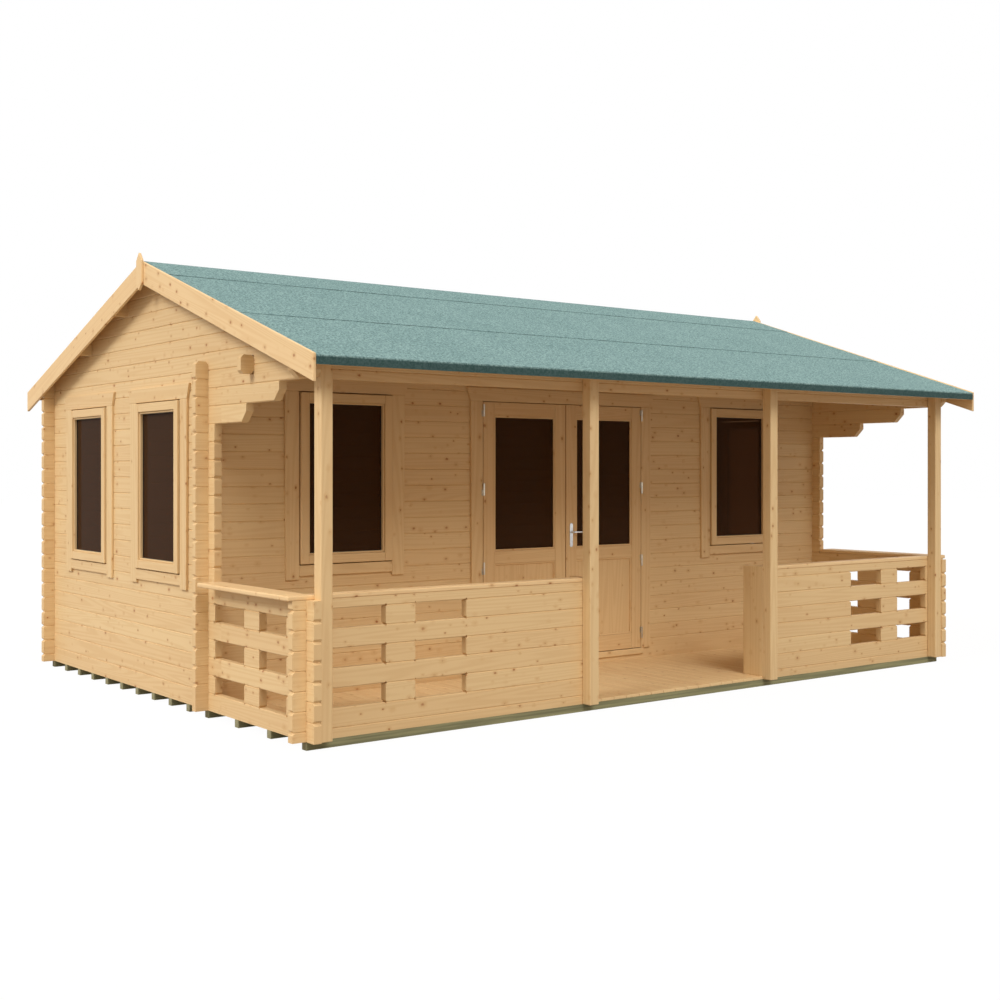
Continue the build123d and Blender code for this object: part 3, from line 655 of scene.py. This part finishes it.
class CABIN_OT_bearers(Operator):
    """Treated bearers on the ground under the walls and the deck"""
    bl_idname = "cabin.bearers"
    bl_label = "Bearers"

    def execute(self, context):
        width, cabin_count, veranda_count = 0.05, 11, 3
        pitch = (REAR_FACE - FRONT_FACE - width) / (cabin_count - 1)
        veranda_pitch = (FRONT_FACE - VERANDA_FACE) / veranda_count
        fronts = [FRONT_FACE + pitch * k for k in range(cabin_count)]
        fronts += [VERANDA_FACE + veranda_pitch * k for k in range(veranda_count)]
        first = board((-HALF_WIDTH, fronts[0], 0), (HALF_WIDTH, fronts[0] + width, LOG_BASE), ALONG_X)
        parts = [first] + [copy_of(first, (0, y - fronts[0], 0), next_number()) for y in fronts[1:]]
        as_piece("bearers", parts, "treated bearer", ["floor_bearers"])
        return {'FINISHED'}


class CABIN_OT_floors(Operator):
    """Boards of the cabin floor and of the veranda deck"""
    bl_idname = "cabin.floors"
    bl_label = "Floors"

    def execute(self, context):
        low, high = corners("cabin_floor")
        pitch = (high.x - low.x) / round((high.x - low.x) / sizes().floor_board)
        first = board(low, (low.x + pitch, high.y, high.z), ALONG_Y, 0.0015, 1)
        count = round((high.x - low.x) / pitch)
        parts = [first] + [copy_of(first, (pitch * k, 0, 0), next_number()) for k in range(1, count)]
        as_piece("floor_planks", parts, "deck board", ["cabin_floor"])

        low, high = corners("veranda_deck")
        tongue = high_corner("entry_end_boards").x
        back_row = VERANDA_FACE + LOG_THICKNESS
        count = round((high.x - low.x) / sizes().deck_board)
        pitch = (high.x - low.x) / count
        parts = []
        for k in range(count):
            left = low.x + pitch * k
            right = left + pitch - sizes().gap
            middle = (left + right) / 2
            near = low.y if abs(middle) < tongue - pitch / 2 else back_row
            parts.append(board((left, near, low.z), (right, high.y, high.z), ALONG_Y, 0.0025, 2))
        as_piece("deck_planks", parts, "deck board", ["veranda_deck"])
        return {'FINISHED'}


class CABIN_OT_roof(Operator):
    """Roof boards from ridge to eaves, and the felt over them"""
    bl_idname = "cabin.roof"
    bl_label = "Roof"

    def execute(self, context):
        count = round(2 * GABLE_EDGE / sizes().roof_board)
        pitch = 2 * GABLE_EDGE / count
        drop = (0, 0, -EAVES_EDGE * SLOPE)
        for name, side in (("front", -1), ("rear", 1)):
            near, far = sorted((0, side * EAVES_EDGE))
            first = block((-GABLE_EDGE, near, RIDGE), (-GABLE_EDGE + pitch, far, RIDGE + BOARD_RISE))
            move_picked(first, lambda place: abs(place.y) > 1, drop)
            planed(first, (0, side, -SLOPE), 0.0025, 1)
            parts = [first] + [copy_of(first, (pitch * k, 0, 0), next_number()) for k in range(1, count)]
            as_piece(name + "_roof_planks", parts, "roof board", [name + "_roof_boards"])
        self.felt()
        return {'FINISHED'}

    def felt(self):
        """Three strips on each slope, the ridge strip in one piece over the ridge."""
        rise = FELT * UPRIGHT
        lower_start, middle_start, fold_height = 1.36, 0.3, 0.051
        for name, side in (("front", -1), ("rear", 1)):
            sheets = []
            for start, end, layer in ((lower_start, EAVES_EDGE + FELT, 0), (middle_start, LAPS[1], 1)):
                sheets.append(felt_strip(side, start, end, BOARD_RISE + rise * layer))
            pick(sheets[0], lambda place: abs(place.y) > EAVES_EDGE)
            extrude((0, 0, -fold_height))
            leave_edit()
            for sheet in sheets:
                thicken(sheet)
            as_piece(name + "_felt_strips", sheets, "mineral felt", [name + "_felt"])
        halves = [felt_strip(side, 0, LAPS[0], BOARD_RISE + rise * 2) for side in (-1, 1)]
        ridge_sheet = join(halves)
        pick(ridge_sheet, lambda place: True)
        bpy.ops.mesh.remove_doubles(threshold=0.0005)
        bpy.ops.mesh.normals_make_consistent(inside=False)
        leave_edit()
        thicken(ridge_sheet)
        as_piece("ridge_felt_strip", [ridge_sheet], "mineral felt", ["ridge_felt"])


def felt_strip(side, start, end, rise):
    """Sheet on one slope between two level distances from the ridge, at an upright rise, faces up."""
    clear_selection()
    cut = 0.08
    long_cuts, short_cuts = 96, max(4, round((end - start) / cut))
    bpy.ops.mesh.primitive_grid_add(x_subdivisions=long_cuts, y_subdivisions=short_cuts, size=1,
                                    location=(0, side * (start + end) / 2, RIDGE + rise))
    strip = bpy.context.object
    strip.scale = (2 * GABLE_EDGE, end - start, 1)
    settle()
    for vertex in strip.data.vertices:
        vertex.co.z -= abs(vertex.co.y) * SLOPE
    return strip


def thicken(strip):
    """Gives a felt sheet its thickness, upwards."""
    modify(strip, 'SOLIDIFY', thickness=FELT, offset=1.0)


class CABIN_OT_bargeboards(Operator):
    """Bargeboards on the gables, and the pointed finials"""
    bl_idname = "cabin.bargeboards"
    bl_label = "Bargeboards"

    def execute(self, context):
        for side_name in ("left", "right"):
            for slope_name in ("front", "rear"):
                node = side_name + "_" + slope_name + "_bargeboard"
                low, high = corners(node)
                drop = (abs(low.y) + abs(high.y)) * SLOPE
                height = high.z - low.z - drop
                piece = block((low.x, low.y, high.z - height), high)
                move_picked(piece, lambda place: abs(place.y) > 1, (0, 0, -drop))
                slant = 1 if slope_name == "front" else -1
                planed(piece, (0, 1, slant * SLOPE), 0.004, 3)
                as_piece(node + "_plank", [piece], "trim board painted light", [node])
        low, high = corners("finials")
        thickness = 0.018
        point, shoulder = 0.054, 0.045
        parts = []
        for near in (low.x, high.x - thickness):
            piece = block((near, low.y, low.z + shoulder), (near + thickness, high.y, high.z - point))
            pick(piece, lambda place: place.z > high.z - point - NEAR)
            extrude_to_line((0, 0, point))
            pick(piece, lambda place: place.z < low.z + shoulder + NEAR)
            extrude_to_line((0, 0, -shoulder))
            parts.append(planed(piece, ALONG_Z, 0.003))
        as_piece("finial_boards", parts, "trim board painted light", ["finials"])
        return {'FINISHED'}


def extrude_to_line(offset):
    """Extrudes the picked face and closes it across its width to a ridge line."""
    extrude(offset)
    bpy.ops.transform.resize(value=(1, 0, 1))
    bpy.ops.mesh.remove_doubles(threshold=0.0001)
    leave_edit()


class CABIN_OT_posts(Operator):
    """Veranda posts, the rail caps and the boards at the entry"""
    bl_idname = "cabin.posts"
    bl_label = "Posts and caps"

    def execute(self, context):
        low, high = corners("veranda_posts")
        size = high.y - low.y
        end_board = 0.028
        front_twin, side_twin, entry_twin = 4.7, 2.9, 8.1
        entry = high_corner("entry_end_boards").x - end_board
        parts = []
        for near in (low.x, -entry - size, entry, high.x - size):
            piece = block((near, low.y, low.z), (near + size, high.y, high.z))
            move_picked(piece, lambda place: place.z > 1 and place.y < low.y + 0.01, (0, 0, -size * SLOPE))
            parts.append(planed(piece, ALONG_Z, 0.006, 3))
        as_piece("posts", parts, "planed board", ["veranda_posts"])

        low, high = corners("front_rail_caps")
        inner = high_corner("entry_end_boards").x
        left = cap(low, (-inner, high.y, high.z), ALONG_X)
        as_piece("front_caps", [left, mirrored(left, 0, front_twin)], "trim board painted light",
                 ["front_rail_caps"])
        low, high = corners("side_rail_caps")
        left = cap(low, (-INNER_HALF_WIDTH, high.y, high.z), ALONG_Y)
        as_piece("side_caps", [left, mirrored(left, 0, side_twin)], "trim board painted light",
                 ["side_rail_caps"])

        low, high = corners("entry_end_boards")
        left = board(low, (low.x + end_board, high.y, high.z), ALONG_Z, 0.004, 3)
        as_piece("entry_boards", [left, mirrored(left, 0, entry_twin)], "planed board",
                 ["entry_end_boards"])
        return {'FINISHED'}


def cap(low, high, along):
    """Rail cap with well rounded edges."""
    return board(low, high, along, 0.008, 4)


def wall_block(wall, across, out, up):
    """Block on a wall, from ranges across the wall, out from its outer face, and up."""
    if wall == "front":
        return block((across[0], FRONT_FACE - out[1], up[0]), (across[1], FRONT_FACE - out[0], up[1]))
    side = -1 if wall == "left" else 1
    x = sorted(side * (HALF_WIDTH + reach) for reach in out)
    return block((x[0], across[0], up[0]), (x[1], across[1], up[1]))


def wall_axis(wall):
    """Index of the level axis that runs along a wall."""
    return 0 if wall == "front" else 1


def along_axis(axis, distance):
    """Offset along one axis."""
    offset = [0, 0, 0]
    offset[axis] = distance
    return offset


def casing(wall, centre, half, low, high, foot=True):
    """Boards round an opening: sides, flared head and, under a window, a foot board."""
    width, proud, tail, head, flare, flare_start = 0.098, 0.018, 0.024, 0.100, 0.044, 0.027
    foot_height, edge = 0.072, 0.0035
    axis = wall_axis(wall)
    outer = half + width
    slant = flare * flare_start / (head + flare_start)
    bottom = low - foot_height - tail if foot else low
    parts = []
    for side in (-1, 1):
        outer_line = centre + side * outer
        piece = wall_block(wall, sorted((centre + side * half, outer_line)), (0, proud), (bottom, high))
        move_picked(piece, lambda place: place.z > high - NEAR and abs(place[axis] - outer_line) < NEAR,
                    along_axis(axis, side * slant))
        parts.append(planed(piece, ALONG_Z, edge, 3))
    inner = outer + slant
    piece = wall_block(wall, (centre - inner, centre + inner), (0, proud), (high, high + head))
    for side in (-1, 1):
        move_picked(piece, lambda place: place.z > high + NEAR and side * (place[axis] - centre) > 0,
                    along_axis(axis, side * (outer + flare - inner)))
    parts.append(planed(piece, LEVEL[axis], edge, 3))
    if foot:
        piece = wall_block(wall, (centre - half, centre + half), (0, proud), (low - foot_height, low))
        parts.append(planed(piece, LEVEL[axis], edge, 3))
    return parts


def four_strips(wall, centre, half, low, high, width, out, reach, shrink=0.0):
    """Four strips inside an opening: two upright, then two level ones out to a reach, a little less proud."""
    blocks = []
    for side in (-1, 1):
        across = sorted((centre + side * half, centre + side * (half - width)))
        blocks.append(wall_block(wall, across, out, (low, high)))
    for up in ((low, low + width), (high - width, high)):
        blocks.append(wall_block(wall, (centre - reach, centre + reach), (out[0], out[1] - shrink), up))
    return blocks


SASH_BAR = 0.066
GLASS_BEAD = 0.013


def sash(wall, centre, half, low, high):
    """Window sash: two stiles, two rails and the beads that hold the glass."""
    reveal, proud, rail_step, bead_foot, bead_inset = 0.007, 0.033, 0.0015, -0.004, 0.012
    level = LEVEL[wall_axis(wall)]
    bar = SASH_BAR - reveal
    half, low, high = half - reveal, low + reveal, high - reveal
    inner = half - bar
    bars = four_strips(wall, centre, half, low, high, bar, (-LOG_THICKNESS, proud), inner, rail_step)
    beads = four_strips(wall, centre, inner, low + bar, high - bar, GLASS_BEAD,
                        (bead_foot, proud - bead_inset), inner)
    parts = []
    for blocks, edge in ((bars, 0.004), (beads, 0.005)):
        for block_along, piece in zip((ALONG_Z, ALONG_Z, level, level), blocks):
            parts.append(planed(piece, block_along, edge, 3))
    return parts


def seal(wall, centre, half, low, high):
    """Rubber seal on the glass, a thin line inside the beads."""
    line, edge, out = 0.003, 0.0008, (-0.003, 0.001)
    margin = SASH_BAR + GLASS_BEAD
    blocks = four_strips(wall, centre, half - margin, low + margin, high - margin, line, out, half - margin)
    return [soften(piece, edge, 1) for piece in blocks]


class CABIN_OT_windows(Operator):
    """Casings, sashes and seals of the six windows"""
    bl_idname = "cabin.windows"
    bl_label = "Windows"

    def execute(self, context):
        half = 0.366
        for name, walls in (("front", ["front"]), ("gable", ["left", "right"])):
            low, high = corners(name + "_window_frames")
            axis = wall_axis(walls[0])
            centres = (low[axis] + half, high[axis] - half)
            boards, frames, seals = [], [], []
            for wall in walls:
                for centre in centres:
                    boards += casing(wall, centre, half, low.z, high.z)
                    frames += sash(wall, centre, half, low.z, high.z)
                    seals += seal(wall, centre, half, low.z, high.z)
            as_piece(name + "_casing_boards", boards, "planed board",
                     [name + "_window_casings"])
            as_piece(name + "_sashes", frames, "sash board", [name + "_window_frames"])
            as_piece(name + "_seals", seals, "rubber seal")
        return {'FINISHED'}


class CABIN_OT_doorway(Operator):
    """Door frame and the casing round it"""
    bl_idname = "cabin.doorway"
    bl_label = "Doorway"

    def execute(self, context):
        low, high = corners("door_frame")
        jamb, stop, stop_depth, stop_edge, sill = 0.030, 0.015, 0.019, 0.002, 0.048
        back = FRONT_FACE + LOG_THICKNESS
        stop_face = back - stop_depth
        inner = high.x - jamb
        under = high.z - jamb
        sill_top = low.z + sill
        parts = []
        for side in (-1, 1):
            x = sorted((side * inner, side * high.x))
            parts.append(board((x[0], FRONT_FACE, sill_top), (x[1], back, under), ALONG_Z))
            x = sorted((side * inner, side * (inner - stop)))
            parts.append(board((x[0], stop_face, sill_top), (x[1], back, under - stop), ALONG_Z, stop_edge))
        parts.append(board((-high.x, FRONT_FACE, under), (high.x, back, high.z), ALONG_X))
        parts.append(board((-inner, stop_face, under - stop), (inner, back, under), ALONG_X, stop_edge))
        parts.append(board((-high.x, low.y, low.z), (high.x, back, sill_top), ALONG_X, 0.006, 3))
        parts.append(board((-inner + stop, stop_face, sill_top), (inner - stop, back, sill_top + stop),
                           ALONG_X, stop_edge))
        as_piece("door_lining", parts, "sash board", ["door_frame"])
        boards = casing("front", 0, inner, sill_top, under, foot=False)
        as_piece("door_casing_boards", boards, "planed board", ["door_casing"])
        return {'FINISHED'}


class CABIN_OT_doors(Operator):
    """The two glazed leaves, with their beads and panels"""
    bl_idname = "cabin.doors"
    bl_label = "Doors"

    def execute(self, context):
        stile, top_rail, middle_rail, bottom_rail, glass_height = 0.101, 0.099, 0.091, 0.120, 1.003
        rail_inset, recess, tongue = 0.0012, 0.014, 0.002
        bead_width, bead_inset, bead_depth = 0.014, 0.004, 0.011
        lip_width, lip_inset, lip_depth, lip_edge = 0.009, 0.015, 0.003, 0.0008
        for name in ("left_door", "right_door"):
            low, high = corners(name)
            pane_low, pane_high = high.z - top_rail - glass_height, high.z - top_rail
            rail_low = pane_low - middle_rail
            inner = (low.x + stile, high.x - stile)
            parts = [board(low, (inner[0], high.y, high.z), ALONG_Z, 0.003, 3),
                     board((inner[1], low.y, low.z), high, ALONG_Z, 0.003, 3)]
            for bottom, top in ((low.z, low.z + bottom_rail), (rail_low, pane_low), (pane_high, high.z)):
                parts.append(board((inner[0], low.y + rail_inset, bottom),
                                   (inner[1], high.y - rail_inset, top), ALONG_X, 0.003, 3))
            panel_low = low.z + bottom_rail
            parts.append(board((inner[0] - tongue, low.y + recess, panel_low - tongue),
                               (inner[1] + tongue, high.y - recess, rail_low + tongue), ALONG_Z, 0.001, 1))
            for face in (low.y + bead_inset, high.y - bead_inset - bead_depth):
                for opening in ((panel_low, rail_low), (pane_low, pane_high)):
                    parts += border(inner, opening, (face, face + bead_depth), bead_width)
            for face in (low.y + lip_inset, high.y - lip_inset - lip_depth):
                parts += border(inner, (pane_low, pane_high), (face, face + lip_depth), lip_width, lip_edge)
            as_piece(name + "_leaf", parts, "door board", [name], body=name)
        return {'FINISHED'}


def border(across, up, depth, width, edge=0.004):
    """Four strips round the inside of an opening in a door, the level ones a little less deep."""
    shrink = 0.0004
    tuck = width * 0.6
    parts = []
    for x in ((across[0], across[0] + width), (across[1] - width, across[1])):
        parts.append(board((x[0], depth[0], up[0]), (x[1], depth[1], up[1]), ALONG_Z, edge, 2))
    for z in ((up[0], up[0] + width), (up[1] - width, up[1])):
        parts.append(board((across[0] + tuck, depth[0] + shrink, z[0]),
                           (across[1] - tuck, depth[1] - shrink, z[1]), ALONG_X, edge, 2))
    return parts


class CABIN_OT_handle(Operator):
    """Plates and lever of the right leaf"""
    bl_idname = "cabin.handle"
    bl_label = "Handle"

    def execute(self, context):
        low, high = corners("handle_plates")
        thickness = 0.004
        parts = []
        for y in (low.y, high.y - thickness):
            piece = block((low.x, y, low.z), (high.x, y + thickness, high.z))
            self.round_plate(piece)
            parts.append(soften(piece, 0.0012))
        as_piece("plates", parts, "satin handle", ["handle_plates"], body="right_door")

        low, high = corners("door_lever")
        neck = 0.008
        half_bar = (high.z - low.z) / 2
        axis_x, axis_z = low.x + half_bar, (low.z + high.z) / 2
        bar_depth = 0.011
        clear_selection()
        bpy.ops.mesh.primitive_cylinder_add(vertices=40, radius=neck, depth=high.y - low.y - bar_depth,
                                            location=(axis_x, (low.y + high.y) / 2, axis_z),
                                            rotation=(pi / 2, 0, 0))
        settle()
        parts = [bpy.context.object]
        for y in (low.y, high.y - bar_depth):
            parts.append(self.bar(axis_x, axis_z, y, bar_depth, half_bar, high.x))
        as_piece("lever", parts, "satin handle", ["door_lever"], body="lever")
        bpy.ops.object.shade_smooth_by_angle(angle=radians(40))
        return {'FINISHED'}

    def round_plate(self, piece):
        """Rounds the corners of a plate, seen from the front."""
        pick(piece, lambda place: False)
        bpy.ops.mesh.select_mode(type='EDGE')
        leave_edit()
        for edge in piece.data.edges:
            first, second = (piece.data.vertices[v].co for v in edge.vertices)
            edge.select = abs(first.y - second.y) > 0.001
        bpy.ops.object.mode_set(mode='EDIT')
        bpy.ops.mesh.bevel(offset=0.0135, segments=8)
        leave_edit()

    def bar(self, x, z, y, depth, half, tip):
        """Lever bar: a boss that runs out into a slim grip."""
        boss, close = half * 0.9, 0.0001
        piece = block((x - boss, y, z - boss), (x + boss, y + depth, z + boss))
        # Where each stretch of the bar ends, and its height as a share
        for end, scale in ((x + 0.028, 0.72), (tip - 0.022, 0.62), (tip - 0.001, 0.6)):
            edge_x = max(vertex.co.x for vertex in piece.data.vertices)
            pick(piece, lambda place: place.x > edge_x - close)
            extrude((end - edge_x, 0, 0))
            leave_edit()
            for vertex in piece.data.vertices:
                if vertex.co.x > end - close:
                    vertex.co.z = z + (half * scale if vertex.co.z > z else -half * scale)
        soften(piece, 0.003, 2, 60)
        modify(piece, 'SUBSURF', levels=2, render_levels=2)
        return piece


def mix_shaders(tree, factor, first, second, output):
    """Mixes two shaders by a factor into an output node."""
    mix = tree.nodes.new("ShaderNodeMixShader")
    link(tree, (factor, mix.inputs[0]), (first.outputs[0], mix.inputs[1]),
         (second.outputs[0], mix.inputs[2]), (mix.outputs[0], tree.nodes[output].inputs["Surface"]))


def background_rays(tree):
    """One for rays that see the background straight, mirrored or through glass, and zero for light."""
    path = tree.nodes.new("ShaderNodeLightPath")
    direct = number(tree, 'MAXIMUM', path.outputs["Is Camera Ray"], path.outputs["Is Glossy Ray"])
    return number(tree, 'MAXIMUM', direct, path.outputs["Is Transmission Ray"])


class CABIN_OT_stage(Operator):
    """Floor, light and camera"""
    bl_idname = "cabin.stage"
    bl_label = "Stage"

    def execute(self, context):
        floor_size, glow_strength, glow_share = 120, 1.08, 0.9
        clear_selection()
        bpy.ops.mesh.primitive_plane_add(size=floor_size, location=(0, 0, 0))
        floor = context.object
        floor.name = "floor"
        tree, shader = blank("pale floor")
        preset(shader, {"Base Color": (0.32, 0.29, 0.26, 1), "Roughness": 0.9})
        glow = tree.nodes.new("ShaderNodeEmission")
        preset(glow, {"Color": (1, 1, 1, 1), "Strength": glow_strength})
        seen = times(tree, background_rays(tree), glow_share)
        mix_shaders(tree, seen, shader, glow, "Material Output")
        cover(floor.data, "pale floor")

        world = bpy.data.worlds.new("studio")
        world.use_nodes = True
        context.scene.world = world
        tree = world.node_tree
        sky = tree.nodes["Background"]
        preset(sky, {"Color": (1.0, 0.84, 0.69, 1), "Strength": 0.55})
        white = tree.nodes.new("ShaderNodeBackground")
        preset(white, {"Color": (1, 1, 1, 1), "Strength": 1.0})
        mix_shaders(tree, background_rays(tree), sky, white, "World Output")

        suns = (("left sun", (52, 0, -90), 1.95, 25), ("front sun", (50, 0, -8), 1.32, 30))
        for name, turn, strength, angle in suns:
            clear_selection()
            bpy.ops.object.light_add(type='SUN', location=(0, 0, 8), rotation=[radians(a) for a in turn])
            lamp = context.object
            lamp.name = name
            lamp.data.energy = strength
            lamp.data.angle = radians(angle)

        place, heading = (-6.712, -8.7915, 1.578), radians(-37.3)
        clear_selection()
        bpy.ops.object.camera_add(location=place, rotation=(pi / 2, 0, heading))
        camera = context.object
        camera.data.lens = 48.71
        camera.data.sensor_width = 36.0
        camera.data.shift_x = 0.0012
        camera.data.shift_y = -0.0293
        context.scene.camera = camera
        context.scene.view_settings.view_transform = 'Standard'
        return {'FINISHED'}


OPERATORS = (
    CABIN_OT_materials, CABIN_OT_bearers, CABIN_OT_floors, CABIN_OT_roof, CABIN_OT_bargeboards,
    CABIN_OT_posts, CABIN_OT_windows, CABIN_OT_doorway, CABIN_OT_doors, CABIN_OT_handle, CABIN_OT_stage,
)


class CABIN_PT_panel(Panel):
    """Sizes, colours and steps of the cabin"""
    bl_idname = "CABIN_PT_panel"
    bl_label = "Log cabin"
    bl_space_type = 'VIEW_3D'
    bl_region_type = 'UI'
    bl_category = "Cabin"

    def draw(self, context):
        for settings in (context.scene.cabin_sizes, context.scene.cabin_colours):
            for name in settings.__annotations__:
                self.layout.prop(settings, name)
        for operator in OPERATORS:
            self.layout.operator(operator.bl_idname)


CLASSES = (CabinSizes, CabinColours, *OPERATORS, CABIN_PT_panel)


def register():
    for cls in CLASSES:
        bpy.utils.register_class(cls)
    bpy.types.Scene.cabin_sizes = PointerProperty(type=CabinSizes)
    bpy.types.Scene.cabin_colours = PointerProperty(type=CabinColours)


def unregister():
    del bpy.types.Scene.cabin_colours
    del bpy.types.Scene.cabin_sizes
    for cls in reversed(CLASSES):
        bpy.utils.unregister_class(cls)


def main():
    """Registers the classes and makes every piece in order."""
    register()
    random.seed(27)
    bpy.ops.cabin.materials()
    bpy.ops.cabin.bearers()
    bpy.ops.cabin.floors()
    bpy.ops.cabin.roof()
    bpy.ops.cabin.bargeboards()
    bpy.ops.cabin.posts()
    bpy.ops.cabin.windows()
    bpy.ops.cabin.doorway()
    bpy.ops.cabin.doors()
    bpy.ops.cabin.handle()
    bpy.ops.cabin.stage()


if __name__ == "__main__":
    main()
